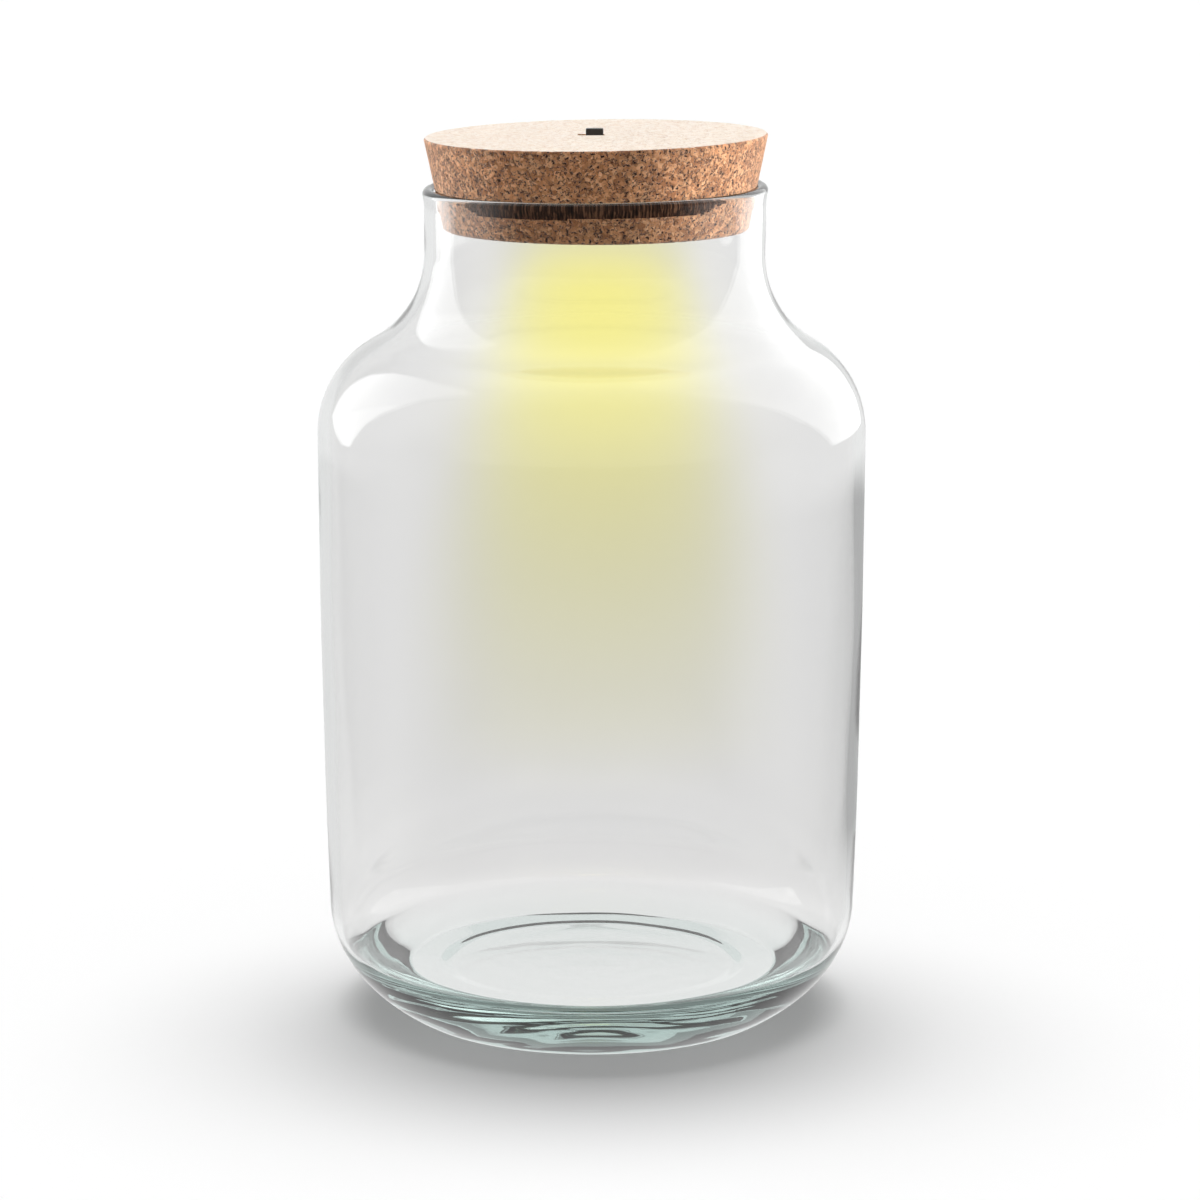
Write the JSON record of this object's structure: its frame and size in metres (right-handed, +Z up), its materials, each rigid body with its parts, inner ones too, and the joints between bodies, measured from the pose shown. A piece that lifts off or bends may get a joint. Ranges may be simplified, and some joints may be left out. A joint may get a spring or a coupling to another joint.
{
  "type": "terrarium jar",
  "caption": "Round clear glass jar with a thick base, sloping shoulders and a wide neck, closed by a tapered cork stopper that holds a switched battery lamp.",
  "frame": {"origin": "centre of the foot ring, on the surface that the jar stands on", "axes": "+Z up along the jar's axis; -Y is the side that faces the camera; the lamp's switch slides along X, and the lamp is on with the knob towards +X"},
  "size_m": [0.1748, 0.1748, 0.2851],
  "materials": {
    "clear_glass": "gloss",
    "agglomerated_cork": "matte",
    "white_plastic": "satin",
    "black_plastic": "satin",
    "frosted_plastic": "satin",
    "silvered_plastic": "polished",
    "board_laminate": "satin",
    "light_source_resin": "gloss",
    "steel": "satin",
    "brass": "satin",
    "seal_rubber": "matte"
  },
  "bodies": {
    "jar": {"glass_jar": "clear_glass"},
    "lid": {"cork_stopper": "agglomerated_cork", "lamp_housing": "white_plastic", "housing_screw_1": "steel", "housing_screw_2": "steel", "housing_screw_3": "steel", "circuit_board": "board_laminate", "board_screw_1": "steel", "board_screw_2": "steel", "board_screw_3": "steel", "resistor_1": "black_plastic", "resistor_2": "black_plastic", "led_1": "light_source_resin", "led_2": "light_source_resin", "led_3": "light_source_resin", "led_4": "light_source_resin", "reflector": "silvered_plastic", "coin_cell_1": "steel", "coin_cell_2": "steel", "cell_holder_1": "black_plastic", "cell_holder_2": "black_plastic", "cell_contact_1": "brass", "cell_contact_2": "brass", "cell_clip_1": "steel", "cell_clip_2": "steel", "switch_case": "steel", "switch_base": "black_plastic", "switch_pin_1": "brass", "switch_pin_2": "brass", "switch_pin_3": "brass"},
    "switch_slider": {"switch_lever": "black_plastic", "switch_knob": "black_plastic"},
    "lamp_cover": {"cover_ring": "white_plastic", "diffuser": "frosted_plastic", "cover_seal": "seal_rubber"}
  },
  "joints": [
    {"name": "lid_lift", "type": "slide", "parent": "jar", "child": "lid", "axis": [0, 0, 1], "range_m": [0, 0.06]},
    {"name": "switch_slide", "type": "slide", "parent": "lid", "child": "switch_slider", "axis": [-1, 0, 0], "range_m": [0, 0.002]},
    {"name": "cover_twist", "type": "hinge", "parent": "lid", "child": "lamp_cover", "pos_m": [0, 0, 0.254], "axis": [0, 0, -1], "range_deg": [0, 25]}
  ]
}
